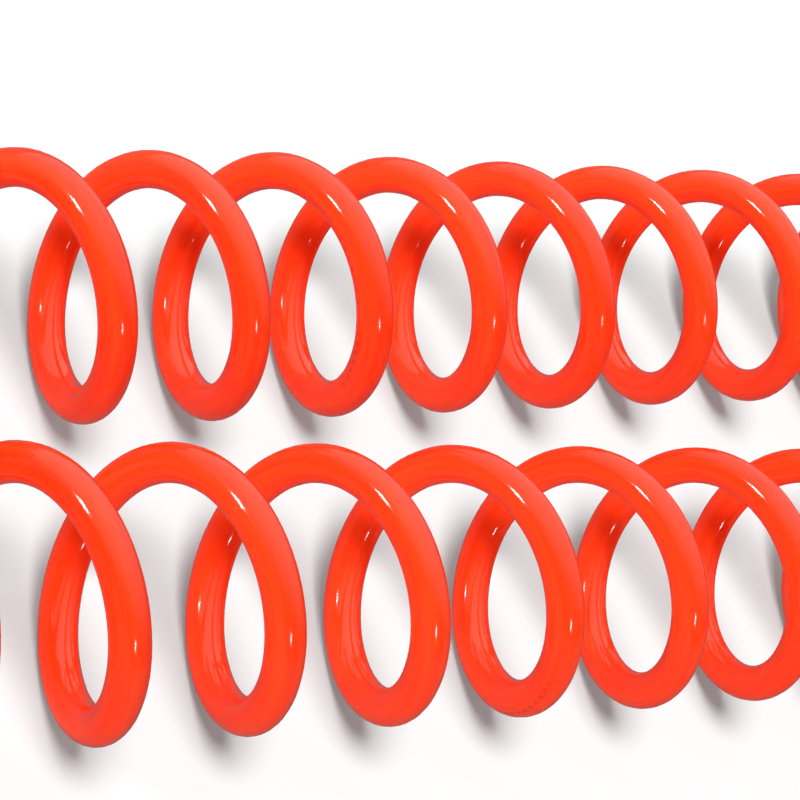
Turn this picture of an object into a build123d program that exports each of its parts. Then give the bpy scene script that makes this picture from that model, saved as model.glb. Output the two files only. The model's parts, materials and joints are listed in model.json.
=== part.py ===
from build123d import *

import os
from math import cos, pi, radians, sin, tan

# Coiled air hose: 8 x 5 mm polyurethane tube wound in a right-hand coil, lying doubled back
# on itself in two rows, with a quick-connect socket on one end and a swivel plug on the other.
# Millimetres. +Z is up and the hose lies on z = 0; the rows run along X, their closed end is
# towards +X, and both fittings point towards -X. The origin is under the middle of the whole.

# ---- driving dimensions --------------------------------------------------------------------
HOSE_R = 4.0                # outside radius of the tube
HOSE_BORE_R = 2.5
COIL_MEAN_R = 24.8          # radius of the tube's centreline in the coil
COIL_R = COIL_MEAN_R + HOSE_R

BEND_X = 288.0              # where the coil turns back: centre of the turn
BEND_R = 43.1               # radius of the coil's axis in the turn
SPLAY = 1.505               # degrees that each row leans away from X
UPPER_LENGTH = 392.7        # from the turn to the end of each row, along its axis
LOWER_LENGTH = 402.0

SOCKET_X, SOCKET_Y = -360.0, 44.0      # the socket's mouth
PLUG_X, PLUG_Y = -352.0, -50.0         # the plug's tip
SOCKET_Z = 12.2             # height of the socket's axis: the radius of its sleeve
PLUG_Z = 8.1                # height of the plug's axis: the radius of its swivel housing

RUN_SHARE = 0.45            # share of the shorter run that an arc of a tail may use

# socket, measured along its axis from the mouth towards the hose
MOUTH_BORE_R = 6.05         # land behind the balls that guides the plug's collar
MOUTH_FRONT_R = 6.25        # the bore in front of that land
LAND_START, LAND_END = 8.1, 12.8
BARREL_R = 9.0
COLLAR_R = 10.5
CHAMBER_R = 6.4
THREAD_R = 6.6
BALL_R = 2.0
BALL_PLANE = 6.0
BALL_SEAT_R = 6.95          # ball centre when locked
BALL_COUNT = 6
BALL_RATIO = 0.24           # ball travel for each millimetre of sleeve travel
SLEEVE_TRAVEL = 5.0
LAND_R = 9.1
SLEEVE_R = SOCKET_Z
SLEEVE_END = 28.0
SPRING_SPACE_R = 10.6
SHOULDER = 24.0             # face of the body's collar, where the sleeve spring stands
BODY_END = 45.0
SOCKET_HOSE_END = 59.5      # where the cut end of the hose butts against the adapter
PLUG_HOSE_END = 55.0

# plug, measured along its axis from the tip towards the hose
TIP_R = 3.95
PLUG_COLLAR_R = 5.93
PLUG_GROOVE_R = 4.3
HOUSING_R = PLUG_Z
HOUSING_END = 41.0
SWIVEL_R = 5.0
RUNNING = 0.05              # radial clearance of a running fit

NECK_R = 5.7                # thread that the hose nuts screw on to
GUARD_R, GUARD_WIRE_R = 5.0, 0.7       # mean radius and wire of the spring guards
PRESS = 0.02                # clearance left around parts that are pushed or screwed in
HEX_SOCKET = 19.0           # sizes across flats
HEX_ADAPTER = 17.0
HEX_PLUG = 14.0


# ---- small tools ---------------------------------------------------------------------------
def turned(*outline):
    """A solid of revolution about Z from a closed outline of (radius, along) points."""
    points = [(radius, 0, along) for radius, along in outline]
    return revolve(make_face(Polyline(*points, close=True)), axis=Axis.Z)


def disc(radius, start, end):
    """A plain cylinder from start to end along Z."""
    return Pos(0, 0, (start + end) / 2) * Cylinder(radius, end - start)


def ring(inner, outer, start, end):
    """A plain ring from start to end along Z."""
    return disc(outer, start, end) - disc(inner, start - 1, end + 1)


def hexagon(flats, start, end, chamfer_size=0.6):
    """A hexagonal bar with its two rims turned to a cone, one flat facing down once laid."""
    section = Pos(0, 0, start) * RegularPolygon(flats / 2, 6, major_radius=False, rotation=30)
    bar = extrude(section, end - start)
    corner = flats / 2 / cos(radians(30))
    rim = corner - chamfer_size
    return bar & turned((0, start), (rim, start), (corner + 0.1, start + chamfer_size),
                        (corner + 0.1, end - chamfer_size), (rim, end), (0, end))


def coil_spring(mean_radius, wire_r, start, end, pitch):
    """A round-wire spring whose wire lies between start and end along Z."""
    height = end - start - 2 * wire_r
    path = Pos(0, 0, start + wire_r) * Helix(pitch=pitch, height=height, radius=mean_radius)
    section = (path ^ 0) * Circle(wire_r)
    return sweep(section, path=path, is_frenet=True)


def grooves(radius, depth, width, positions):
    """Cutters for a row of round-bottomed grooves around a turned surface."""
    cutters = [Pos(0, 0, at) * Torus(radius + width / 2 - depth, width / 2) for at in positions]
    return cutters


def laid(x, y, z):
    """Where a fitting made along Z lies: its axis turned to run along +X."""
    return Location((x, y, z), (0, 90, 0))


# ---- the hose ------------------------------------------------------------------------------
def row_axis(side):
    """Where a row of the coil leaves the turn, and the direction in which it runs away from it."""
    lean = radians(SPLAY)
    start = Vector(BEND_X - BEND_R * sin(lean), side * BEND_R * cos(lean), COIL_R)
    return start, Vector(-cos(lean), -side * sin(lean), 0)


def coil_row(side, length):
    """One straight row of the coil, as the closed round bar that its turns fill."""
    start, away = row_axis(side)
    return extrude(Plane(start, z_dir=away) * Circle(COIL_R), length)


def coil_bend():
    """The turn at the closed end, where the coil's axis goes half way round and a little more."""
    start, away = row_axis(1)
    section = Plane(start, z_dir=away) * Circle(COIL_R)
    return revolve(section, axis=Axis((BEND_X, 0, 0), (0, 0, -1)), revolution_arc=180 + 2 * SPLAY)


def coil_end(side, length):
    """Where the hose leaves the end of a row, lying on the floor under the row's axis."""
    start, away = row_axis(side)
    end = start + away * length
    return Vector(end.X, end.Y, HOSE_R), away


def tail(name, route):
    """A straight stretch of hose along a route, its corners rounded as widely as they can be."""
    runs = [route[i + 1] - route[i] for i in range(len(route) - 1)]
    radii = []
    for before, after in zip(runs, runs[1:]):
        half_turn = radians(before.get_angle(after)) / 2
        radii.append(RUN_SHARE * min(before.length, after.length) / tan(half_turn))
    path = FilletPolyline(*route, radius=radii)
    outside = sweep((path ^ 0) * Circle(HOSE_R), path=path)
    tube = outside - sweep((path ^ 0) * Circle(HOSE_BORE_R), path=path)
    section = pi * (HOSE_R**2 - HOSE_BORE_R**2)
    print(name, "radii", [round(r) for r in radii], "runs", [round(r.length) for r in runs],
          "length", round(path.length, 1), "volume", round(tube.volume), "of", round(section * path.length))
    return tube


def socket_tail():
    start, away = coil_end(1, UPPER_LENGTH)
    route = [start, start + away * 40, Vector(-192, 38, HOSE_R), Vector(-248, 44, SOCKET_Z),
             Vector(SOCKET_X + SOCKET_HOSE_END, SOCKET_Y, SOCKET_Z)]
    return tail("socket tail", route)


def plug_tail():
    start, away = coil_end(-1, LOWER_LENGTH)
    route = [start, start + away * 38, Vector(-195, -41.5, HOSE_R), Vector(-248, -50, PLUG_Z),
             Vector(PLUG_X + PLUG_HOSE_END, PLUG_Y, PLUG_Z)]
    return tail("plug tail", route)


# ---- what holds the hose, the same on both ends --------------------------------------------
def hose_stem(hose_end):
    """The adapter's threaded neck and the barb that the hose is pushed on to."""
    neck = turned((0, hose_end - 8.5), (NECK_R, hose_end - 8.5), (NECK_R, hose_end - 1.5),
                  (NECK_R - 0.5, hose_end - 0.8), (3.6, hose_end), (0, hose_end))
    neck -= grooves(NECK_R, 0.35, 0.7, [hose_end - 7.5 + i for i in range(6)])
    barb = turned((0, hose_end - 1), (2.45, hose_end - 1), (2.45, hose_end + 10), (2.2, hose_end + 11),
                  (0, hose_end + 11))
    return neck + barb


def hose_nut(hose_end):
    """The union nut that clamps the hose on the barb and holds the foot of the spring guard."""
    start, end = hose_end - 7.5, hose_end + 8.5
    collar = turned((0, end - 4), (6.9, end - 4), (6.7, end - 0.6), (6.3, end), (0, end))
    nut = hexagon(HEX_PLUG, start, end - 4) + collar
    thread_r, foot_r = NECK_R + 0.08, GUARD_R + GUARD_WIRE_R + 0.1
    inside = turned((0, start - 1), (thread_r, start - 1), (thread_r, hose_end), (4.12, hose_end + 2.6),
                    (4.12, end - 2.8), (foot_r, end - 2.8), (foot_r, end + 1), (0, end + 1))
    return nut - inside


def spring_guard(hose_end):
    """The bend-restricting spring around the hose where it leaves the nut."""
    foot = hose_end + 5.75
    return coil_spring(GUARD_R, GUARD_WIRE_R, foot, foot + 38, 2.5)


# ---- quick-connect socket ------------------------------------------------------------------
def ball_positions():
    return [60 * i for i in range(BALL_COUNT)]


def ball_direction(angle):
    """The way out of a ball's hole, in the socket's own frame."""
    return Vector(cos(radians(angle)), sin(radians(angle)), 0)


def ball_hole(angle):
    """A radial hole that narrows towards the bore, so the ball can't fall through."""
    wide, narrow = BALL_R + 0.1, BALL_R - 0.1
    hole = turned((0, MOUTH_BORE_R - 0.6), (narrow, MOUTH_BORE_R - 0.6), (narrow, MOUTH_BORE_R),
                  (wide, BALL_SEAT_R - 0.05), (wide, BARREL_R + 1), (0, BARREL_R + 1))
    return Pos(0, 0, BALL_PLANE) * Rot(0, 0, angle) * Rot(0, 90, 0) * hole


def socket_body():
    outside = turned((0, 0), (8.6, 0), (BARREL_R, 0.4), (BARREL_R, SHOULDER), (COLLAR_R, SHOULDER),
                     (COLLAR_R, 31), (9.4, 32), (9.4, 35), (0, 35)) + hexagon(HEX_SOCKET, 34, BODY_END)
    inside = turned((0, -1), (7.0, -1), (7.0, 0), (MOUTH_FRONT_R, 0.75), (MOUTH_FRONT_R, LAND_START),
                    (MOUTH_BORE_R, LAND_START), (MOUTH_BORE_R, LAND_END), (4.2, LAND_END), (4.2, 14.4),
                    (CHAMBER_R, 14.4), (CHAMBER_R, 35.8), (THREAD_R, 35.8), (THREAD_R, BODY_END + 1),
                    (0, BODY_END + 1))
    body = outside - inside - ring(8.2, BARREL_R + 1, 1.4, 2.5)
    return body - [ball_hole(angle) for angle in ball_positions()]


def lock_ball(angle):
    centre = ball_direction(angle) * BALL_SEAT_R
    return Pos(centre.X, centre.Y, BALL_PLANE) * Sphere(BALL_R)


def locking_sleeve():
    """The grip sleeve: a land locks the balls in, and a cone in front of it lets them out."""
    release_r = LAND_R + BALL_RATIO * SLEEVE_TRAVEL
    release = BALL_PLANE - SLEEVE_TRAVEL
    front, grip_start, grip_end = 0.3, 5.0, 21.0
    outside = turned((0, front), (11.4, front), (SLEEVE_R, 1.1), (SLEEVE_R, 4), (11.5, 4.4),
                     (11.5, grip_start), (12.0, grip_start + 0.4), (12.0, grip_end - 0.4), (11.5, grip_end),
                     (11.5, 21.8), (SLEEVE_R, 22.3), (SLEEVE_R, 27.2), (11.6, SLEEVE_END), (0, SLEEVE_END))
    inside = turned((0, front - 1), (release_r, front - 1), (release_r, release), (LAND_R, BALL_PLANE),
                    (LAND_R, 11), (SPRING_SPACE_R, 11), (SPRING_SPACE_R, SLEEVE_END + 1), (0, SLEEVE_END + 1))
    flute_count, flute_r, flute_depth = 36, 0.7, 0.4
    reach = 12.0 + flute_r - flute_depth
    flutes = [Rot(0, 0, 360 / flute_count * i) * Pos(reach, 0, (grip_start + grip_end) / 2)
              * Cylinder(flute_r, grip_end - grip_start - 2) for i in range(flute_count)]
    return outside - inside - flutes


def sleeve_spring():
    return coil_spring(9.8, 0.5, 11.1, SHOULDER - 0.1, 2.35)


def open_ring(inner, outer, start, end, gap):
    """A spring-steel retaining ring with a gap of some degrees."""
    wedge = Rot(0, 0, 200) * Pos(outer / 2, 0, (start + end) / 2) * Box(
        outer + 2, 2 * outer * tan(radians(gap / 2)), end - start + 1)
    return ring(inner, outer, start, end) - wedge


def sleeve_ring():
    return open_ring(8.25, 9.85, 1.45, 2.45, 24)


def plug_seal():
    """The lipped ring that closes on the plug's tip."""
    return turned((3.85, 14.9), (4.3, 14.4 + PRESS), (CHAMBER_R - PRESS, 14.4 + PRESS),
                  (CHAMBER_R - PRESS, 17.6 - PRESS), (5.2, 17.6 - PRESS), (4.6, 16.4), (3.85, 16.0))


def valve_seat():
    outer = CHAMBER_R - PRESS
    return turned((4.2, 17.6), (outer, 17.6), (outer, 20.6), (4.6, 20.6), (4.2, 20.2))


def valve_poppet():
    """The check valve: a slotted nose that the plug pushes, the head and its guide stem."""
    poppet = turned((0, 18.2), (3.4, 18.2), (3.4, 21), (5.3, 21), (5.3, 23), (1.9, 23), (1.9, 32.6),
                    (1.5, 33), (0, 33))
    poppet -= disc(2.4, 17, 20.8)
    slots = [Rot(0, 0, 60 * i) * Pos(0, 0, 19.3) * Box(8, 1.8, 2.6) for i in range(3)]
    return poppet - slots


def valve_seal():
    return ring(3.42, 5.2, 20.68, 21.0 - PRESS)


def valve_spring():
    return coil_spring(3.6, 0.35, 23.05, 30.95, 1.75)


def valve_guide():
    """The spider that guides the valve's stem and lets the air past."""
    spider = ring(1.98, CHAMBER_R - PRESS, 31, 34)
    return spider - [Rot(0, 0, 120 * i) * Pos(4.1, 0, 32.5) * Cylinder(1.4, 5) for i in range(3)]


def socket_adapter():
    start = BODY_END + 1
    thread_r = THREAD_R - RUNNING
    stub = turned((0, 34.05), (6.1, 34.05), (6.1, 36), (thread_r, 36.5), (thread_r, start), (0, start))
    stub -= grooves(thread_r, 0.35, 0.7, [37.5 + i for i in range(7)])
    adapter = stub + hexagon(HEX_ADAPTER, start, SOCKET_HOSE_END - 8.5) + hose_stem(SOCKET_HOSE_END)
    return adapter - disc(2.1, 30, 80)


def adapter_washer():
    return ring(THREAD_R + 0.1, 8.9, BODY_END, BODY_END + 1)


# ---- swivel plug ---------------------------------------------------------------------------
def plug_nipple():
    """The turning half of the plug: tip, collar, ball groove, hexagon and swivel housing."""
    nose = turned((0, 0), (3.3, 0), (TIP_R, 0.65), (TIP_R, 10.5), (PLUG_COLLAR_R, 11.7),
                  (PLUG_COLLAR_R, 15.2), (PLUG_GROOVE_R + 0.3, 16.8), (PLUG_GROOVE_R, 17.3),
                  (PLUG_GROOVE_R, 18.9), (PLUG_COLLAR_R, 20.5), (PLUG_COLLAR_R, 24), (0, 24))
    housing = turned((0, 30), (7.4, 30), (HOUSING_R, 30.8), (HOUSING_R, HOUSING_END - 0.6),
                     (7.5, HOUSING_END), (0, HOUSING_END))
    nipple = nose + hexagon(HEX_PLUG, 23.5, 30.5) + housing
    bore_r = SWIVEL_R + RUNNING
    inside = turned((0, -1), (2.9, -1), (2.9, 0), (2.5, 0.6), (2.5, 29), (bore_r, 29), (bore_r, 36.9),
                    (5.75, 36.9), (5.75, 38.2), (bore_r, 38.2), (bore_r, HOUSING_END + 1),
                    (0, HOUSING_END + 1))
    return nipple - inside


def plug_adapter():
    flange = HOUSING_END + 0.3
    stub = turned((0, 29.3), (4.6, 29.3), (SWIVEL_R, 29.8), (SWIVEL_R, 31.5), (3.88, 31.5), (3.88, 33.7),
                  (SWIVEL_R, 33.7), (SWIVEL_R, 37), (4.15, 37), (4.15, 38.1), (SWIVEL_R, 38.1),
                  (SWIVEL_R, flange), (0, flange))
    adapter = stub + hexagon(HEX_PLUG, flange, PLUG_HOSE_END - 8.5) + hose_stem(PLUG_HOSE_END)
    return adapter - disc(2.1, 20, 80)


def swivel_seal():
    return Pos(0, 0, 32.6) * Torus(4.45, 0.55)


def swivel_ring():
    return open_ring(4.2, 5.6, 37.05, 38.05, 30)


# ---- every piece, where it lies ------------------------------------------------------------
SOCKET = laid(SOCKET_X, SOCKET_Y, SOCKET_Z)
PLUG = laid(PLUG_X, PLUG_Y, PLUG_Z)

pieces = {
    "hose_coil_upper": coil_row(1, UPPER_LENGTH),
    "hose_coil_bend": coil_bend(),
    "hose_coil_lower": coil_row(-1, LOWER_LENGTH),
    "hose_tail_socket_end": socket_tail(),
    "hose_tail_plug_end": plug_tail(),
    "socket_body": SOCKET * socket_body(),
    "locking_sleeve": SOCKET * locking_sleeve(),
    "sleeve_spring": SOCKET * sleeve_spring(),
    "sleeve_ring": SOCKET * sleeve_ring(),
    "plug_seal": SOCKET * plug_seal(),
    "valve_seat": SOCKET * valve_seat(),
    "valve_poppet": SOCKET * valve_poppet(),
    "valve_seal": SOCKET * valve_seal(),
    "valve_spring": SOCKET * valve_spring(),
    "valve_guide": SOCKET * valve_guide(),
    "socket_adapter": SOCKET * socket_adapter(),
    "adapter_washer": SOCKET * adapter_washer(),
    "socket_hose_nut": SOCKET * hose_nut(SOCKET_HOSE_END),
    "socket_spring_guard": SOCKET * spring_guard(SOCKET_HOSE_END),
    "plug_nipple": PLUG * plug_nipple(),
    "plug_adapter": PLUG * plug_adapter(),
    "swivel_seal": PLUG * swivel_seal(),
    "swivel_ring": PLUG * swivel_ring(),
    "plug_hose_nut": PLUG * hose_nut(PLUG_HOSE_END),
    "plug_spring_guard": PLUG * spring_guard(PLUG_HOSE_END),
}
for number, angle in enumerate(ball_positions(), start=1):
    pieces[f"lock_ball_{number}"] = SOCKET * lock_ball(angle)

os.makedirs("parts", exist_ok=True)
for name, piece in pieces.items():
    export_step(piece, f"parts/{name}.step")
print(len(pieces), "pieces")
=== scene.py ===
"""Coiled polyurethane air hose with a quick-connect socket and a swivel plug.

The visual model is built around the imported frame: one hose that follows its real route, spring
guards, and finishes for the turned and plated fittings. Everything is in metres, in the frame's
own axes.
"""

from __future__ import annotations

import json
import logging
import math
from dataclasses import dataclass
from enum import Enum
from typing import Any

import bpy
import numpy as np
from mathutils import Matrix, Vector

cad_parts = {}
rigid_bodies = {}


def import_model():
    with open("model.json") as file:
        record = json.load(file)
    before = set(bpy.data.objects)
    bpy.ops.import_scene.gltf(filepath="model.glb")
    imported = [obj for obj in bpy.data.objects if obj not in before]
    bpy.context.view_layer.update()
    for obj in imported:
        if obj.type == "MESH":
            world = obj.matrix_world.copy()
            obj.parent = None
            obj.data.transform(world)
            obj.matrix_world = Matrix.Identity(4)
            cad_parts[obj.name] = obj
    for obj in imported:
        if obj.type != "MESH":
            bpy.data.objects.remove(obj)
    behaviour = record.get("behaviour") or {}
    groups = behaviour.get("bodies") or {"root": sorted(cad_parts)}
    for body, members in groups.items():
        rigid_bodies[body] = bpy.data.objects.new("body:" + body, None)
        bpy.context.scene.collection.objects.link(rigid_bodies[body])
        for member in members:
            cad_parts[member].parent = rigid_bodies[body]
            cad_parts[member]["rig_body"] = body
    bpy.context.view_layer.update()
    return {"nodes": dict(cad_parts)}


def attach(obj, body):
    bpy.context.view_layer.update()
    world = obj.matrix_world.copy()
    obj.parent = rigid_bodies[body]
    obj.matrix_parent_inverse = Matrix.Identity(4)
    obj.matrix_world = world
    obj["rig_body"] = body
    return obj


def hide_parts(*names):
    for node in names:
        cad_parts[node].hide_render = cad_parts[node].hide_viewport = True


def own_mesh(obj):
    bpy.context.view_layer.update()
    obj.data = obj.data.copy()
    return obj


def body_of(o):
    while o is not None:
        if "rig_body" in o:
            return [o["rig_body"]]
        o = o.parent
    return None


LOG = logging.getLogger("air_hose")
MM = 0.001
NODES: dict[str, bpy.types.Object] = {}  # the frame's CAD nodes by name


# ---------------------------------------------------------------------------------------------
# Shared tools
# ---------------------------------------------------------------------------------------------


def linear(hex_colour: str, alpha: float = 1.0) -> tuple[float, float, float, float]:
    """Turn an sRGB hex colour such as "FF3A14" into the linear values that shaders take.

    Args:
        hex_colour: six hexadecimal digits.
        alpha: the fourth value.

    Returns:
        Red, green, blue and alpha, from 0 to 1.
    """
    values = []
    for start in (0, 2, 4):
        encoded = int(hex_colour[start:start + 2], 16) / 255
        values.append(encoded / 12.92 if encoded <= 0.04045 else ((encoded + 0.055) / 1.055) ** 2.4)
    return (*values, alpha)


def add_node(tree: bpy.types.NodeTree, kind: str, settings: dict[str, Any] | None = None,
             **inputs: Any) -> bpy.types.Node:
    """Add one node to a shader or geometry tree.

    Args:
        tree: the tree that gets the node.
        kind: the node's type, such as "ShaderNodeTexNoise".
        settings: attributes of the node itself.
        **inputs: values or output sockets for its inputs, named as the inputs are, with _ for a
            space; a name such as i0 or i1 means an input by its number.

    Returns:
        The new node.
    """
    node = tree.nodes.new(kind)
    for name, value in (settings or {}).items():
        setattr(node, name, value)
    for name, value in inputs.items():
        numbered = name[0] == "i" and name[1:].isdigit()
        socket = node.inputs[int(name[1:]) if numbered else name.replace("_", " ")]
        if isinstance(value, bpy.types.NodeSocket):
            tree.links.new(value, socket)
        else:
            socket.default_value = value
    return node


def new_material(name: str) -> tuple[bpy.types.Material, bpy.types.NodeTree, bpy.types.Node]:
    """Make a material with one Principled surface.

    Args:
        name: what the finish is called.

    Returns:
        The material, its node tree and its Principled node.
    """
    material = bpy.data.materials.new(name)
    material.use_nodes = True
    tree = material.node_tree
    tree.nodes.clear()
    surface = add_node(tree, "ShaderNodeBsdfPrincipled")
    output = add_node(tree, "ShaderNodeOutputMaterial", Surface=surface.outputs["BSDF"])
    output.is_active_output = True
    return material, tree, surface


def link(tree: bpy.types.NodeTree, source: bpy.types.NodeSocket, target: bpy.types.NodeSocket) -> None:
    """Join an output to an input."""
    tree.links.new(source, target)


def grown(carrier: bpy.types.Object, tree: bpy.types.NodeTree, sizes: dict[str, Any]) -> bpy.types.Mesh:
    """Run a Geometry Nodes tree on a carrier object and keep only the plain mesh that it makes.

    Args:
        carrier: the object that the tree starts from, which is removed.
        tree: the tree.
        sizes: values for the tree's inputs, by their names.

    Returns:
        The mesh.
    """
    modifier = carrier.modifiers.new(tree.name, "NODES")
    modifier.node_group = tree
    for item in tree.interface.items_tree:
        if item.item_type == "SOCKET" and item.in_out == "INPUT" and item.name in sizes:
            modifier[item.identifier] = sizes[item.name]
    bpy.context.view_layer.update()
    evaluated = carrier.evaluated_get(bpy.context.evaluated_depsgraph_get())
    mesh = bpy.data.meshes.new_from_object(evaluated)
    start = carrier.data
    bpy.data.objects.remove(carrier)
    bpy.data.meshes.remove(start)
    return mesh


def new_object(name: str, data: Any) -> bpy.types.Object:
    """Put new data into the scene as an object at the origin."""
    made = bpy.data.objects.new(name, data)
    bpy.context.scene.collection.objects.link(made)
    return made


# ---------------------------------------------------------------------------------------------
# Finishes
# ---------------------------------------------------------------------------------------------


@dataclass(frozen=True)
class PolyurethaneTube:
    """Extruded ether polyurethane: clear resin with red pigment, glossy, with light bleeding through.

    Attributes:
        colour: the pigment as seen on a lit flank.
        deep: a deeper tone of the pigment, which the die lines bring out.
        ink: the ink-jet marks that a hose carries along one side.
        streak_mm: width of the faint lengthwise lines that the die leaves.
        lines_per_metre: how often such a line comes and goes along the hose.
        line_depth_mm: how deep the lines look, at line_strength.
        mark_mm: length of one mark of the printed line.
        mark_width_mm: half the width of the printed line.
        print_half_gap: metres from the middle of one group of marks to halfway to the next.
        print_half_run: half the length of a group, in metres.
        print_strength: how dark the faint print is.
        glow: share of the light that goes into the wall and comes out beside where it went in.
        glow_reach: how far red, green and blue go in the wall, as shares of glow_mm.
    """

    name: str = "polyurethane_tube"
    colour: str = "FC4117"
    deep: str = "F6320E"
    ink: str = "9E1A12"
    streak_mm: float = 0.5
    lines_per_metre: float = 9.0
    line_depth_mm: float = 0.05
    line_strength: float = 0.1
    mark_mm: float = 2.4
    mark_width_mm: float = 0.45
    print_half_gap: float = 0.31
    print_half_run: float = 0.028
    print_strength: float = 0.3
    roughness: float = 0.1
    ior: float = 1.5
    glow: float = 0.45
    glow_reach: tuple[float, float, float] = (1.0, 0.16, 0.05)
    glow_mm: float = 3.5

    def build(self) -> bpy.types.Material:
        """Make the material for a tube that carries its own places.

        The tube has an attribute of metres along it, and one of the place in its round section.

        Returns:
            The material.
        """
        material, tree, surface = new_material(self.name)
        along = add_node(tree, "ShaderNodeAttribute", {"attribute_name": "metres_along"}).outputs["Fac"]
        section = add_node(tree, "ShaderNodeAttribute", {"attribute_name": "place_in_section"})
        lines = self.die_lines(tree, along, section.outputs["Vector"])
        depth = add_node(tree, "ShaderNodeMapRange", Value=lines, From_Min=0.35, From_Max=0.75)
        shade = add_node(tree, "ShaderNodeMix", {"data_type": "RGBA"}, i0=depth.outputs["Result"],
                         i6=linear(self.colour), i7=linear(self.deep))
        inked = add_node(tree, "ShaderNodeMix", {"data_type": "RGBA"},
                         i0=self.printed_line(tree, along, section.outputs["Vector"]),
                         i6=shade.outputs[2], i7=linear(self.ink))
        bump = add_node(tree, "ShaderNodeBump", Strength=self.line_strength,
                        Distance=self.line_depth_mm * MM, Height=lines)
        link(tree, inked.outputs[2], surface.inputs["Base Color"])
        link(tree, bump.outputs["Normal"], surface.inputs["Normal"])
        surface.inputs["Roughness"].default_value = self.roughness
        surface.inputs["IOR"].default_value = self.ior
        surface.inputs["Subsurface Weight"].default_value = self.glow
        surface.inputs["Subsurface Radius"].default_value = self.glow_reach
        surface.inputs["Subsurface Scale"].default_value = self.glow_mm * MM
        return material

    def die_lines(self, tree: bpy.types.NodeTree, along: bpy.types.NodeSocket,
                  section: bpy.types.NodeSocket) -> bpy.types.NodeSocket:
        """Long thin lines that the extrusion die leaves, drawn a little coarser than the real ones.

        Args:
            tree: the material's tree.
            along: metres along the hose.
            section: the place in the round section, in metres.

        Returns:
            A value near a half that wavers from line to line.
        """
        fine = add_node(tree, "ShaderNodeVectorMath", {"operation": "SCALE"}, Vector=section,
                        Scale=1 / (4 * self.streak_mm * MM))
        across = add_node(tree, "ShaderNodeSeparateXYZ", Vector=fine.outputs["Vector"])
        drawn_out = add_node(tree, "ShaderNodeMath", {"operation": "MULTIPLY"}, i0=along,
                             i1=self.lines_per_metre)
        place = add_node(tree, "ShaderNodeCombineXYZ", X=across.outputs["X"], Y=across.outputs["Y"],
                         Z=drawn_out.outputs[0])
        return add_node(tree, "ShaderNodeTexNoise", Vector=place.outputs["Vector"], Scale=1.0, Detail=3.0,
                        Roughness=0.6).outputs["Fac"]

    def printed_line(self, tree: bpy.types.NodeTree, along: bpy.types.NodeSocket,
                     section: bpy.types.NodeSocket) -> bpy.types.NodeSocket:
        """The printed line: a plain row of dashes in groups, faint, that spells nothing.

        Args:
            tree: the material's tree.
            along: metres along the hose.
            section: the place in the round section, in metres.

        Returns:
            How much ink is at a place, from 0 to 1.
        """
        side = add_node(tree, "ShaderNodeSeparateXYZ", Vector=section)
        dash = add_node(tree, "ShaderNodeMath", {"operation": "PINGPONG"}, i0=along,
                        i1=0.5 * self.mark_mm * MM)
        in_dash = add_node(tree, "ShaderNodeMath", {"operation": "GREATER_THAN"}, i0=dash.outputs[0],
                           i1=0.22 * self.mark_mm * MM)
        group = add_node(tree, "ShaderNodeMath", {"operation": "PINGPONG"}, i0=along,
                         i1=self.print_half_gap)
        in_group = add_node(tree, "ShaderNodeMath", {"operation": "LESS_THAN"}, i0=group.outputs[0],
                            i1=self.print_half_run)
        off_line = add_node(tree, "ShaderNodeMath", {"operation": "ABSOLUTE"}, i0=side.outputs["Y"])
        on_line = add_node(tree, "ShaderNodeMath", {"operation": "LESS_THAN"}, i0=off_line.outputs[0],
                           i1=self.mark_width_mm * MM)
        one_side = add_node(tree, "ShaderNodeMath", {"operation": "LESS_THAN"}, i0=side.outputs["X"], i1=0.0)
        printed = add_node(tree, "ShaderNodeMath", {"operation": "MULTIPLY"}, i0=in_dash.outputs[0],
                           i1=in_group.outputs[0])
        placed = add_node(tree, "ShaderNodeMath", {"operation": "MULTIPLY"}, i0=on_line.outputs[0],
                          i1=one_side.outputs[0])
        inked = add_node(tree, "ShaderNodeMath", {"operation": "MULTIPLY"}, i0=printed.outputs[0],
                         i1=placed.outputs[0])
        return add_node(tree, "ShaderNodeMath", {"operation": "MULTIPLY"}, i0=inked.outputs[0],
                        i1=self.print_strength).outputs[0]


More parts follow.
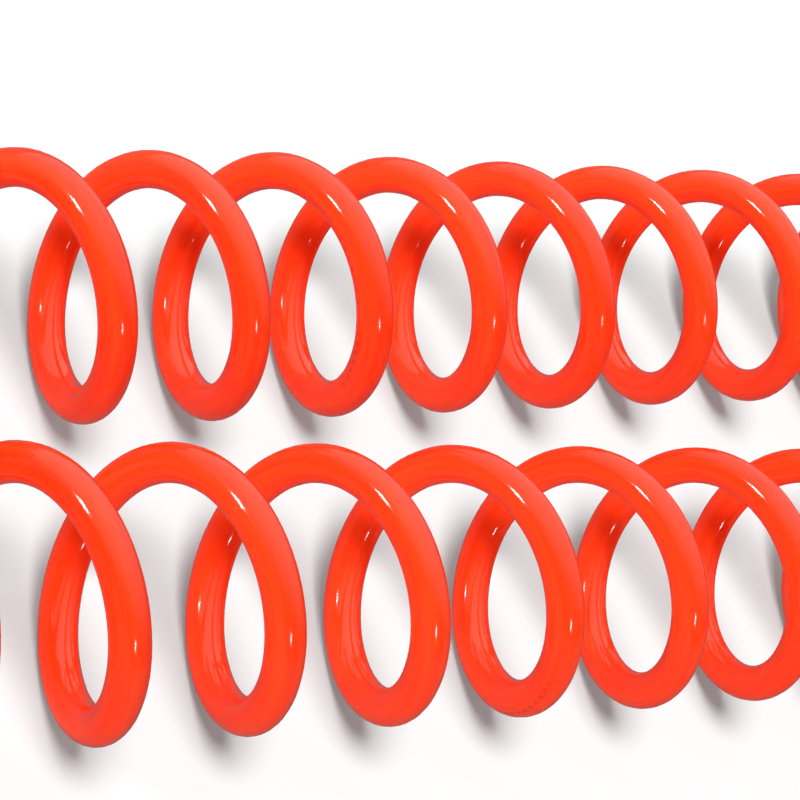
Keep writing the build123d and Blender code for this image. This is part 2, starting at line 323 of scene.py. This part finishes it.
@dataclass(frozen=True)
class TurnedMetal:
    """Bar stock turned on a lathe and plated or left bare: fine rings round the axis, soft stains.

    Attributes:
        colour: of the clean metal.
        stain: of the metal where it has dulled.
        line_mm: spacing of the tool's rings; drawn coarser than real, so that they show.
        stain_mm: size of the soft stains.
        bump: how strongly the rings show.
        ring_depth_mm: how deep the rings are.
    """

    name: str
    colour: str
    stain: str
    roughness: float
    line_mm: float = 0.25
    stain_mm: float = 3.85
    bump: float = 0.08
    ring_depth_mm: float = 0.04

    def build(self) -> bpy.types.Material:
        """Make the material, whose rings run round the X axis that both fittings lie along.

        Returns:
            The material.
        """
        material, tree, surface = new_material(self.name)
        place = add_node(tree, "ShaderNodeTexCoord").outputs["Object"]
        split = add_node(tree, "ShaderNodeSeparateXYZ", Vector=place)
        rings = add_node(tree, "ShaderNodeTexNoise", {"noise_dimensions": "1D"},
                         W=split.outputs["X"], Scale=1 / (self.line_mm * MM), Detail=2.0)
        dull = add_node(tree, "ShaderNodeTexNoise", Vector=place, Scale=1 / (self.stain_mm * MM),
                        Detail=4.0, Roughness=0.6)
        stained = add_node(tree, "ShaderNodeMapRange", Value=dull.outputs["Fac"], From_Min=0.42,
                           From_Max=0.72)
        tint = add_node(tree, "ShaderNodeMix", {"data_type": "RGBA"}, i0=stained.outputs["Result"],
                        i6=linear(self.colour), i7=linear(self.stain))
        rough = add_node(tree, "ShaderNodeMapRange", Value=dull.outputs["Fac"],
                         To_Min=self.roughness * 0.75, To_Max=self.roughness * 1.5)
        link(tree, tint.outputs[2], surface.inputs["Base Color"])
        link(tree, rough.outputs["Result"], surface.inputs["Roughness"])
        bump = add_node(tree, "ShaderNodeBump", Strength=self.bump, Distance=self.ring_depth_mm * MM,
                        Height=rings.outputs["Fac"])
        link(tree, bump.outputs["Normal"], surface.inputs["Normal"])
        surface.inputs["Metallic"].default_value = 1.0
        return material


@dataclass(frozen=True)
class NitrileRubber:
    """Nitrile rubber moulded as seals: matt black, greyed here and there by a fine bloom of wax."""

    name: str = "nitrile_rubber"
    colour: str = "141416"
    bloom: str = "26262A"
    bloom_mm: float = 1.4
    roughness: float = 0.62
    ior: float = 1.52

    def build(self) -> bpy.types.Material:
        """Make the material.

        Returns:
            The material, a plain rubber with its bloom.
        """
        material, tree, surface = new_material(self.name)
        place = add_node(tree, "ShaderNodeTexCoord").outputs["Object"]
        cloud = add_node(tree, "ShaderNodeTexNoise", Vector=place, Scale=1 / (self.bloom_mm * MM),
                         Detail=3.0)
        tint = add_node(tree, "ShaderNodeMix", {"data_type": "RGBA"}, i0=cloud.outputs["Fac"],
                        i6=linear(self.colour), i7=linear(self.bloom))
        link(tree, tint.outputs[2], surface.inputs["Base Color"])
        surface.inputs["Roughness"].default_value = self.roughness
        surface.inputs["IOR"].default_value = self.ior
        return material


class Finish(Enum):
    """The metal finishes of the fittings."""

    # turned brass, bright nickel plated: a warm pale grey that mirrors softly
    NICKEL_PLATE = TurnedMetal("nickel_plated_brass", "CFCBC2", "BCB8AE", 0.22)
    # free-cutting brass straight off the lathe: yellow, with a dull tarnish
    BARE_BRASS = TurnedMetal("turned_brass", "D9B36A", "BE964F", 0.26)
    # turned steel, zinc plated and blue passivated: a cool grey sheen that hides the tool's rings
    ZINC_STEEL = TurnedMetal("zinc_plated_steel", "B9BDC1", "A4A9AD", 0.30, line_mm=0.3, bump=0.12)
    # case-hardened steel, ground where it seals and plated: cool, smooth and rather bright
    HARD_STEEL = TurnedMetal("hardened_plated_steel", "C4C5C6", "AFB1B3", 0.20)
    # drawn spring steel wire, left as drawn: darker, with long soft highlights
    SPRING_WIRE = TurnedMetal("drawn_spring_wire", "B4B5B6", "7E8082", 0.28, line_mm=0.6, bump=0.04)
    # lapped bearing steel: a small clear mirror
    BALL_STEEL = TurnedMetal("polished_ball_steel", "D8D9DB", "B9BABC", 0.08, bump=0.0)


# ---------------------------------------------------------------------------------------------
# The hose
# ---------------------------------------------------------------------------------------------


@dataclass(frozen=True)
class Station:
    """A place along the coil: turns wound so far, millimetres along its axis, and the pitch there."""

    turns: float
    along: float
    pitch: float


@dataclass
class Hose:
    """The tube, wound right-handed, laid in two rows with the coil turned back at the +X end.

    Sizes are in millimetres, as in the part's own source, which has the same route.

    Attributes:
        radius: of the tube, outside.
        coil_radius: of the tube's centreline in the coil.
        bend_x: where the coil turns back: the middle of the turn.
        bend_radius: of the coil's axis in the turn.
        splay: degrees that each row leans away from X.
        upper_length: from the turn to the socket's end of the coil, along its axis.
        lower_length: the same to the plug's end.
        turns: of the whole coil.
        lead_length: of the tube that eases from the tail into the coil.
        ring_gap: from one ring of the tube's mesh to the next.
        tightness: how much smaller the coil's radius is over its first turns.
        tight_turns: how many turns are as tight as that.
        easing_turns: over how many more turns the coil eases to its full radius.
        socket_route: control points of the tail at the socket; plug_route is the same at the plug.
        socket_first_run: how far the tail lies along the coil's axis before the socket's end.
        stations: the coil's pitch, which is close at its ends and open between them.
    """

    radius: float = 4.0
    coil_radius: float = 24.8
    bend_x: float = 288.0
    bend_radius: float = 43.1
    splay: float = 1.505
    upper_length: float = 392.7
    lower_length: float = 402.0
    turns: float = 29.0
    lead_length: float = 75.0
    lead_steps: int = 12
    points_per_turn: int = 24
    sides: int = 24
    ring_gap: float = 2.15
    tightness: float = 0.7
    tight_turns: float = 4.6
    easing_turns: float = 1.6
    socket_route: tuple[tuple[float, float, float], ...] = (
        (-300.5, 44.0, 12.2), (-248.0, 44.0, 12.2), (-192.0, 38.0, 4.0))
    plug_route: tuple[tuple[float, float, float], ...] = (
        (-195.0, -41.5, 4.0), (-248.0, -50.0, 8.1), (-297.0, -50.0, 8.1))
    socket_first_run: float = 40.0
    plug_first_run: float = 38.0
    stations: tuple[Station, ...] = (
        Station(0.286, 47.2, 8.4), Station(2.915, 69.3, 8.4), Station(4.116, 98.8, 32.4),
        Station(8.268, 233.8, 33.1), Station(12.278, 373.9, 37.7), Station(19.044, 609.3, 34.0),
        Station(21.345, 689.3, 35.3), Station(25.625, 839.4, 34.0), Station(26.825, 869.3, 8.4),
        Station(28.714, 885.2, 8.4))

    @property
    def height(self) -> float:
        """How high the coil's axis is above the floor."""
        return self.coil_radius + self.radius

    @property
    def total(self) -> float:
        """Length of the coil's axis from one end to the other."""
        return self.upper_length + self.lower_length + self._bend_length()

    def _bend_length(self) -> float:
        """Length of the axis in the turn at the closed end."""
        return self.bend_radius * (math.pi + 2 * math.radians(self.splay))

    def axis(self, along: float) -> tuple[Vector, Vector]:
        """Where the coil's axis is.

        Args:
            along: millimetres from the socket's end of the coil.

        Returns:
            The place on the axis, and the unit vector to its left.
        """
        lean = math.radians(self.splay)
        turned = min(max(along - self.upper_length, 0.0), self._bend_length()) / self.bend_radius
        heading = lean - turned
        left = Vector((-math.sin(heading), math.cos(heading), 0.0))
        ahead = Vector((math.cos(heading), math.sin(heading), 0.0))
        before = min(along - self.upper_length, 0.0)
        after = max(along - self.upper_length - self._bend_length(), 0.0)
        centre = Vector((self.bend_x, 0.0, self.height))
        return centre + left * self.bend_radius + ahead * (before + after), left

    def wound(self, turns: float, along: float, steepness: float = 1.0) -> Vector:
        """A control point of the coil.

        Args:
            turns: turns from the socket's end, where the hose lies on the floor.
            along: millimetres along the coil's axis.
            steepness: 1 where the hose runs round the coil, 0 where it runs along it.

        Returns:
            The point, set out a little so that the smooth line through it has the coil's radius.
        """
        centre, left = self.axis(along)
        angle = 2 * math.pi * turns - math.pi / 2
        set_out = 1 / math.cos(math.pi / self.points_per_turn) - 1
        eased = min(max((turns - self.tight_turns) / self.easing_turns, 0.0), 1.0)
        tighter = self.tightness * (1 - eased * eased * (3 - 2 * eased))
        reach = (self.coil_radius - tighter) * (1 + set_out * steepness)
        centre.z -= tighter  # a tighter turn still lies on the floor
        return centre + (left * math.cos(angle) + Vector((0, 0, math.sin(angle)))) * reach

    def lead(self) -> list[tuple[float, float, float]]:
        """The end turn, where the hose eases from running along the coil to running round it.

        Returns:
            Turns, millimetres along, and steepness of each step, from the very end inwards.
        """
        circumference = 2 * math.pi * self.coil_radius
        steepest = math.atan2(circumference, self.stations[0].pitch)
        step = self.lead_length / self.lead_steps
        turns, along, places = 0.0, 0.0, []
        for number in range(self.lead_steps):
            share = (number + 0.5) / self.lead_steps
            slope = steepest * share * share * (3 - 2 * share)
            places.append((turns, along, math.sin(slope) ** 2))
            turns += math.sin(slope) * step / circumference
            along += math.cos(slope) * step
        return places

    def along_at(self, turns: float) -> float:
        """A smooth law of how far along the axis the coil has come, through the stations.

        Args:
            turns: turns from the socket's end.

        Returns:
            Millimetres along the axis.
        """
        for start, end in zip(self.stations, self.stations[1:]):
            if turns <= end.turns:
                break
        span = end.turns - start.turns
        t = min(max((turns - start.turns) / span, 0.0), 1.0)
        return ((2 * t**3 - 3 * t**2 + 1) * start.along + (t**3 - 2 * t**2 + t) * span * start.pitch
                + (3 * t**2 - 2 * t**3) * end.along + (t**3 - t**2) * span * end.pitch)

    def route(self) -> list[Vector]:
        """Join the tails, the leads and the coil.

        Returns:
            The control points of the whole hose, in metres, from the socket to the plug.
        """
        points = [Vector(p) for p in self.socket_route]
        lead = self.lead()
        start, _ = self.axis(0.0)
        ahead = (self.axis(1.0)[0] - start).normalized()
        points.append(self.wound(0.0, 0.0, 0.0) - ahead * self.socket_first_run)
        points += [self.wound(*place) for place in lead]
        first, last = self.stations[0].turns, self.stations[-1].turns
        steps = round((last - first) * self.points_per_turn)
        for number in range(steps + 1):
            turns = first + (last - first) * number / steps
            points.append(self.wound(turns, self.along_at(turns)))
        points += [self.wound(self.turns - t, self.total - a, s) for t, a, s in reversed(lead)]
        end, _ = self.axis(self.total)
        ahead = (end - self.axis(self.total - 1.0)[0]).normalized()
        points.append(self.wound(self.turns, self.total, 0.0) + ahead * self.plug_first_run)
        points += [Vector(p) for p in self.plug_route]
        return [p * MM for p in points]

    def centreline(self) -> np.ndarray:
        """Read the smooth line of the route from its own NURBS spline.

        Returns:
            Evenly spaced points along it, in metres.
        """
        route = self.route()
        data = bpy.data.curves.new("hose_route", "CURVE")
        data.dimensions = "3D"
        data.resolution_u = 16
        spline = data.splines.new("NURBS")
        spline.points.add(len(route) - 1)
        for point, place in zip(spline.points, route):
            point.co = (*place, 1.0)
        spline.order_u = 3
        spline.use_endpoint_u = True
        carrier = new_object("hose_route", data)
        bpy.context.view_layer.update()
        evaluated = carrier.evaluated_get(bpy.context.evaluated_depsgraph_get())
        mesh = bpy.data.meshes.new_from_object(evaluated)
        line = np.array([v.co for v in mesh.vertices], float)
        bpy.data.meshes.remove(mesh)
        bpy.data.objects.remove(carrier)
        bpy.data.curves.remove(data)
        along = np.concatenate([[0.0], np.cumsum(np.linalg.norm(np.diff(line, axis=0), axis=1))])
        rings = np.linspace(0.0, along[-1], round(along[-1] / (self.ring_gap * MM)))
        return np.stack([np.interp(rings, along, line[:, axis]) for axis in range(3)], axis=1)

    def sweep_tree(self) -> bpy.types.NodeTree:
        """The Geometry Nodes tree that sweeps the tube's round section along a line of points.

        Returns:
            A tree whose named inputs are the tube's radius, its number of sides and its material. What
            it makes carries the metres along the tube and the place in the section.
        """
        tree = bpy.data.node_groups.new("tube_along_route", "GeometryNodeTree")
        tree.interface.new_socket("Route", in_out="INPUT", socket_type="NodeSocketGeometry")
        tree.interface.new_socket("Outside radius", in_out="INPUT", socket_type="NodeSocketFloat")
        tree.interface.new_socket("Sides", in_out="INPUT", socket_type="NodeSocketInt")
        tree.interface.new_socket("Finish", in_out="INPUT", socket_type="NodeSocketMaterial")
        tree.interface.new_socket("Tube", in_out="OUTPUT", socket_type="NodeSocketGeometry")
        given = add_node(tree, "NodeGroupInput")
        line = add_node(tree, "GeometryNodeMeshToCurve", i0=given.outputs["Route"])
        measure = add_node(tree, "GeometryNodeSplineParameter")
        measured = add_node(tree, "GeometryNodeStoreNamedAttribute",
                            {"data_type": "FLOAT", "domain": "POINT"}, Geometry=line.outputs[0],
                            Name="metres_along", Value=measure.outputs["Length"])
        section = add_node(tree, "GeometryNodeCurvePrimitiveCircle", Resolution=given.outputs["Sides"],
                           Radius=given.outputs["Outside radius"])
        place = add_node(tree, "GeometryNodeInputPosition")
        marked = add_node(tree, "GeometryNodeStoreNamedAttribute",
                          {"data_type": "FLOAT_VECTOR", "domain": "POINT"},
                          Geometry=section.outputs["Curve"], Name="place_in_section", Value=place.outputs[0])
        swept = add_node(tree, "GeometryNodeCurveToMesh", Curve=measured.outputs[0],
                         Profile_Curve=marked.outputs[0], Fill_Caps=True)
        smooth = add_node(tree, "GeometryNodeSetShadeSmooth", i0=swept.outputs["Mesh"])
        whole = add_node(tree, "GeometryNodeRealizeInstances", Geometry=smooth.outputs[0])
        dressed = add_node(tree, "GeometryNodeSetMaterial", Geometry=whole.outputs[0],
                           Material=given.outputs["Finish"])
        add_node(tree, "NodeGroupOutput", Tube=dressed.outputs[0])
        return tree

    def tube(self, line: np.ndarray) -> bpy.types.Mesh:
        """Sweep the tube along its line, without twisting it, and make the result a plain mesh.

        Args:
            line: points of the centreline, in metres.

        Returns:
            A closed mesh with its material.
        """
        mesh = bpy.data.meshes.new("hose_line")
        mesh.from_pydata(line.tolist(), [(i, i + 1) for i in range(len(line) - 1)], [])
        carrier = new_object("hose_line", mesh)
        swept = grown(carrier, self.sweep_tree(), {
            "Outside radius": self.radius * MM, "Sides": self.sides, "Finish": PolyurethaneTube().build()})
        swept.name = "air_hose"
        return swept

    def build(self, plug_guard: bpy.types.Object) -> bpy.types.Object:
        """Args:
            plug_guard: the spring around the hose at the plug, which goes where the plug goes; not used.

        Returns:
            The hose.
        """
        line = self.centreline()
        hose = new_object("air_hose", self.tube(line))
        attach(hose, "hose")
        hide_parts("hose_coil_upper", "hose_coil_bend", "hose_coil_lower",
                    "hose_tail_socket_end", "hose_tail_plug_end")
        return hose


# ---------------------------------------------------------------------------------------------
# Fittings
# ---------------------------------------------------------------------------------------------


@dataclass(frozen=True)
class CoilSpring:
    """A spring of round wire wound right-handed along X, which stands for the CAD spring of its name.

    Sizes are in millimetres.

    Attributes:
        node: the CAD spring that it stands for.
        axis: where the axis of its fitting is, as Y and Z.
        start: X of the first face of the wire.
        length: from the first face of the wire to the last.
        squeezed_by: the joint that shortens it, and its length when that joint is at its limit.
    """

    node: str
    axis: tuple[float, float]
    start: float
    length: float
    mean_radius: float
    wire_radius: float
    pitch: float
    squeezed_by: tuple[str, float] | None = None
    points_per_turn: int = 28
    wire_sides: int = 12

    def tree(self) -> bpy.types.NodeTree:
        """The Geometry Nodes tree that winds the wire.

        Returns:
            A tree whose named inputs are the spring's sizes in metres, its turns and its material.
        """
        tree = bpy.data.node_groups.new("wound_wire", "GeometryNodeTree")
        tree.interface.new_socket("Start", in_out="INPUT", socket_type="NodeSocketGeometry")
        for name in ("Mean radius", "Wire radius", "Free height", "Turns"):
            tree.interface.new_socket(name, in_out="INPUT", socket_type="NodeSocketFloat")
        for name in ("Points per turn", "Wire sides"):
            tree.interface.new_socket(name, in_out="INPUT", socket_type="NodeSocketInt")
        tree.interface.new_socket("Foot", in_out="INPUT", socket_type="NodeSocketVector")
        tree.interface.new_socket("Finish", in_out="INPUT", socket_type="NodeSocketMaterial")
        tree.interface.new_socket("Wire", in_out="OUTPUT", socket_type="NodeSocketGeometry")
        given = add_node(tree, "NodeGroupInput")
        helix = add_node(tree, "GeometryNodeCurveSpiral", Resolution=given.outputs["Points per turn"],
                         Rotations=given.outputs["Turns"], Start_Radius=given.outputs["Mean radius"],
                         End_Radius=given.outputs["Mean radius"], Height=given.outputs["Free height"])
        section = add_node(tree, "GeometryNodeCurvePrimitiveCircle", Resolution=given.outputs["Wire sides"],
                           Radius=given.outputs["Wire radius"])
        wire = add_node(tree, "GeometryNodeCurveToMesh", Curve=helix.outputs[0],
                        Profile_Curve=section.outputs["Curve"], Fill_Caps=True)
        laid = add_node(tree, "GeometryNodeTransform", Geometry=wire.outputs["Mesh"],
                        Translation=given.outputs["Foot"], Rotation=(0.0, math.pi / 2, 0.0))
        smooth = add_node(tree, "GeometryNodeSetShadeSmooth", i0=laid.outputs[0])
        whole = add_node(tree, "GeometryNodeRealizeInstances", Geometry=smooth.outputs[0])
        dressed = add_node(tree, "GeometryNodeSetMaterial", Geometry=whole.outputs[0],
                           Material=given.outputs["Finish"])
        add_node(tree, "NodeGroupOutput", Wire=dressed.outputs[0])
        return tree

    def build(self, finish: bpy.types.Material) -> bpy.types.Object:
        """Wind the spring and let it stand for its CAD node.

        Args:
            finish: the wire's material.

        Returns:
            The spring, with a mesh of its own where a joint squeezes it.
        """
        height = self.length - 2 * self.wire_radius
        foot = ((self.start + self.wire_radius) * MM, self.axis[0] * MM, self.axis[1] * MM)
        carrier = new_object(self.node + "_start", bpy.data.meshes.new(self.node + "_start"))
        mesh = grown(carrier, self.tree(), {
            "Mean radius": self.mean_radius * MM, "Wire radius": self.wire_radius * MM,
            "Free height": height * MM, "Turns": height / self.pitch, "Foot": foot,
            "Points per turn": self.points_per_turn, "Wire sides": self.wire_sides, "Finish": finish})
        mesh.name = self.node + "_wire"
        spring = new_object(self.node + "_wire", mesh)
        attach(spring, body_of(NODES[self.node])[0])
        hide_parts(self.node)
        if self.squeezed_by:
            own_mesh(spring)
        LOG.info("%s: %.1f turns of %.1f mm wire", spring.name, height / self.pitch, 2 * self.wire_radius)
        return spring


@dataclass
class Fittings:
    """The socket and the plug: the finishes of their CAD pieces, and their four springs."""

    finishes: dict[str, Finish | None]
    springs: tuple[CoilSpring, ...] = (
        CoilSpring("sleeve_spring", (44.0, 12.2), -348.9, 12.8, 9.8, 0.5, 2.35, ("sleeve_slide", 7.8)),
        CoilSpring("valve_spring", (44.0, 12.2), -336.95, 7.9, 3.6, 0.35, 1.75, ("valve_slide", 3.9)),
        CoilSpring("socket_spring_guard", (44.0, 12.2), -294.75, 38.0, 5.0, 0.7, 2.5),
        CoilSpring("plug_spring_guard", (-50.0, 8.1), -291.25, 38.0, 5.0, 0.7, 2.5),
    )

    def wind(self) -> dict[str, bpy.types.Object]:
        """Build the four springs, by the names of the CAD nodes that they stand for."""
        wire = Finish.SPRING_WIRE.value.build()
        return {spring.node: spring.build(wire) for spring in self.springs}

    def dress(self) -> None:
        """Give every CAD piece of the fittings its finish."""
        made: dict[Any, bpy.types.Material] = {}
        for name, finish in self.finishes.items():
            if finish not in made:
                made[finish] = finish.value.build() if finish else NitrileRubber().build()
            node = NODES[name]
            node.data.materials.clear()
            node.data.materials.append(made[finish])
            LOG.info("dressed %s", name)


# ---------------------------------------------------------------------------------------------
# Studio
# ---------------------------------------------------------------------------------------------


@dataclass(frozen=True)
class SmallLamp:
    """A small lamp that shows as a bright spot on every gloss surface.

    Attributes:
        azimuth: degrees from +X towards +Y, as seen from the hose.
        elevation: degrees above the floor.
        size: its width and height, metres.
        power: watts.
    """

    name: str
    azimuth: float
    elevation: float
    size: tuple[float, float]
    power: float

    def build(self, aim: Vector, distance: float) -> None:
        """Hang the lamp.

        Args:
            aim: what it points at.
            distance: how far from there it hangs, metres.
        """
        az, el = math.radians(self.azimuth), math.radians(self.elevation)
        away = Vector((math.cos(az) * math.cos(el), math.sin(az) * math.cos(el), math.sin(el)))
        data = bpy.data.lights.new(self.name, "AREA")
        data.shape = "RECTANGLE"
        data.size, data.size_y = self.size
        data.energy = self.power
        lamp = new_object(self.name, data)
        lamp.location = aim + away * distance
        lamp.rotation_euler = away.to_track_quat("Z", "Y").to_euler()


@dataclass
class Studio:
    """A pale floor, soft light and the camera.

    Attributes:
        aim: what the camera and the small lamps point at.
        azimuth: of the camera, degrees; elevation and roll are degrees too.
        distance: of the camera from its aim, metres.
        key_from: where the hose's softbox stands, as seen from the hose.
        key_width: its apparent width, degrees; wash_from and wash_width are the floor's softbox's.
        paper: the floor's own grey, which wash_strength lights up to white.
        paper_glow: how much light comes through the floor, so that shadows on it stay open.
        tent_slope: where the light tent is bright: overhead and on the far side.
        tent_fill: share of the tent's light that falls on matt surfaces; gloss ones see all of it.
        table_seen: how bright the floor is in reflections.
        lamp_distance: of the small lamps from the aim, metres.
    """

    aim: tuple[float, float, float] = (0.088, 0.00774, 0.0288)
    azimuth: float = -56.4486
    elevation: float = 40.4547
    roll: float = 44.1209
    distance: float = 0.5925
    lens: float = 123.125
    key_from: tuple[float, float, float] = (-0.555, -0.242, 0.796)
    key_width: float = 14.0
    key_strength: float = 3.5
    wash_from: tuple[float, float, float] = (-0.29, -0.17, 0.94)
    wash_width: float = 24.0
    wash_strength: float = 9.5
    paper: str = "898989"
    paper_glow: float = 0.19
    paper_glow_colour: str = "F2FFFF"  # makes up for the red light that the hose throws on it
    tent_slope: tuple[float, float, float] = (0.35, 0.77, 1.05)
    tent_dark: float = 0.03
    tent_bright: float = 1.3
    tent_fill: float = 0.5
    table_seen: float = 0.18
    lamp_distance: float = 1.3
    lamps: tuple[SmallLamp, ...] = (
        SmallLamp("end_lamp", 163.0, 24.0, (0.2, 0.2), 5.2),
        SmallLamp("side_lamp", -94.0, 18.0, (0.11, 0.16), 1.6),
    )

    def camera(self) -> bpy.types.Object:
        """Place the camera, which looks down at the hose and is rolled so that the rows lie level.

        Returns:
            The camera.
        """
        az, el = math.radians(self.azimuth), math.radians(self.elevation)
        back = Vector((math.sin(az) * math.cos(el), -math.cos(az) * math.cos(el), math.sin(el)))
        data = bpy.data.cameras.new("camera")
        data.lens = self.lens
        data.sensor_width = 36.0
        data.clip_start = 0.01
        data.clip_end = 20.0
        camera = new_object("camera", data)
        look = back.to_track_quat("Z", "Y").to_matrix()
        turn = Matrix.Rotation(math.radians(self.roll), 3, "Z")
        place = Matrix.Translation(Vector(self.aim) + back * self.distance)
        camera.matrix_world = place @ (look @ turn).to_4x4()
        bpy.context.scene.camera = camera
        return camera

    def floor(self) -> bpy.types.Object:
        """A plain pale floor, lit a little from behind so that shadows on it stay open.

        Returns:
            The floor.
        """
        half = 3.0
        mesh = bpy.data.meshes.new("floor")
        mesh.from_pydata([(-half, -half, 0), (half, -half, 0), (half, half, 0), (-half, half, 0)], [],
                         [(0, 1, 2, 3)])
        floor = new_object("floor", mesh)
        material, _, surface = new_material("matt_paper")
        surface.inputs["Base Color"].default_value = linear(self.paper)
        surface.inputs["Roughness"].default_value = 0.9
        surface.inputs["Specular IOR Level"].default_value = 0.0
        surface.inputs["Emission Color"].default_value = linear(self.paper_glow_colour)
        surface.inputs["Emission Strength"].default_value = self.paper_glow
        mesh.materials.append(material)
        floor.visible_glossy = False
        return floor

    def sun(self, name: str, direction: tuple[float, float, float], width: float,
            strength: float) -> bpy.types.Object:
        """A wide softbox so far away that its light comes from one side everywhere.

        Args:
            name: the lamp's name.
            direction: where it stands, as seen from the hose.
            width: its apparent width, degrees.
            strength: its light, watts on a square metre.

        Returns:
            The lamp, which shows in no reflection.
        """
        data = bpy.data.lights.new(name, "SUN")
        data.energy = strength
        data.angle = math.radians(width)
        lamp = new_object(name, data)
        lamp.rotation_euler = Vector(direction).to_track_quat("Z", "Y").to_euler()
        lamp.visible_glossy = False
        return lamp

    def link_to_floor(self, lamp: bpy.types.Object, floor: bpy.types.Object, only: bool) -> None:
        """Let a lamp light only the floor, or everything but the floor.

        Args:
            lamp: the lamp.
            floor: the floor.
            only: whether the lamp lights the floor alone.
        """
        group = bpy.data.collections.new(lamp.name + "_receivers")
        group.objects.link(floor)
        group.collection_objects[0].light_linking.link_state = "INCLUDE" if only else "EXCLUDE"
        lamp.light_linking.receiver_collection = group

    def room(self) -> None:
        """A light tent: bright overhead and beyond the hose, dark on the side that it is seen from."""
        world = bpy.data.worlds.new("tent")
        world.use_nodes = True
        tree = world.node_tree
        tree.nodes.clear()
        toward = add_node(tree, "ShaderNodeTexCoord").outputs["Generated"]
        slope = add_node(tree, "ShaderNodeVectorMath", {"operation": "DOT_PRODUCT"}, i0=toward,
                         i1=self.tent_slope)
        tent = add_node(tree, "ShaderNodeClamp", Value=slope.outputs["Value"], Min=self.tent_dark,
                        Max=self.tent_bright)
        height = add_node(tree, "ShaderNodeSeparateXYZ", Vector=toward).outputs["Z"]
        below = add_node(tree, "ShaderNodeMath", {"operation": "LESS_THAN"}, i0=height, i1=0.0)
        surround = add_node(tree, "ShaderNodeMix", {"data_type": "FLOAT"}, i0=below.outputs[0],
                            i2=tent.outputs["Result"], i3=self.table_seen)
        ray = add_node(tree, "ShaderNodeLightPath")
        share = add_node(tree, "ShaderNodeMix", {"data_type": "FLOAT"}, i0=ray.outputs["Is Glossy Ray"],
                         i2=self.tent_fill, i3=1.0)
        level = add_node(tree, "ShaderNodeMath", {"operation": "MULTIPLY"}, i0=surround.outputs[0],
                         i1=share.outputs[0])
        seen = add_node(tree, "ShaderNodeMix", {"data_type": "FLOAT"}, i0=ray.outputs["Is Camera Ray"],
                        i2=level.outputs[0], i3=1.0)
        glow = add_node(tree, "ShaderNodeBackground", Color=linear("FFFFFF"), Strength=seen.outputs[0])
        add_node(tree, "ShaderNodeOutputWorld", Surface=glow.outputs["Background"])
        bpy.context.scene.world = world

    def light(self, floor: bpy.types.Object) -> None:
        """The tent, a softbox for the hose and one for the floor, and the two small lamps.

        Args:
            floor: the floor, which its own softbox lights alone.
        """
        self.room()
        key = self.sun("hose_softbox", self.key_from, self.key_width, self.key_strength)
        self.link_to_floor(key, floor, only=False)
        wash = self.sun("floor_softbox", self.wash_from, self.wash_width, self.wash_strength)
        self.link_to_floor(wash, floor, only=True)
        for lamp in self.lamps:
            lamp.build(Vector(self.aim), self.lamp_distance)

    def build(self) -> None:
        """Set the whole studio and a plain colour transform."""
        bpy.context.scene.view_settings.view_transform = "Standard"
        self.camera()
        self.light(self.floor())
        LOG.info("studio: floor, tent, two softboxes and %d small lamps", len(self.lamps))


def main() -> None:
    """Build the hose, its fittings and the studio around the frame."""
    logging.basicConfig(level=logging.INFO, format="%(message)s")
    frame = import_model()
    NODES.update(frame["nodes"])
    Studio().build()
    finishes = {
        "socket_body": Finish.NICKEL_PLATE, "locking_sleeve": Finish.ZINC_STEEL,
        "sleeve_ring": Finish.SPRING_WIRE, "plug_seal": None,
        "valve_seat": Finish.BARE_BRASS, "valve_poppet": Finish.BARE_BRASS, "valve_seal": None,
        "valve_guide": Finish.BARE_BRASS,
        "socket_adapter": Finish.NICKEL_PLATE, "adapter_washer": None,
        "socket_hose_nut": Finish.NICKEL_PLATE,
        "plug_nipple": Finish.HARD_STEEL, "plug_adapter": Finish.NICKEL_PLATE, "swivel_seal": None,
        "swivel_ring": Finish.SPRING_WIRE, "plug_hose_nut": Finish.NICKEL_PLATE,
    }
    finishes |= {f"lock_ball_{i}": Finish.BALL_STEEL for i in range(1, 7)}
    fittings = Fittings(finishes)
    fittings.dress()
    springs = fittings.wind()
    Hose().build(springs["plug_spring_guard"])


if __name__ == "__main__":
    main()
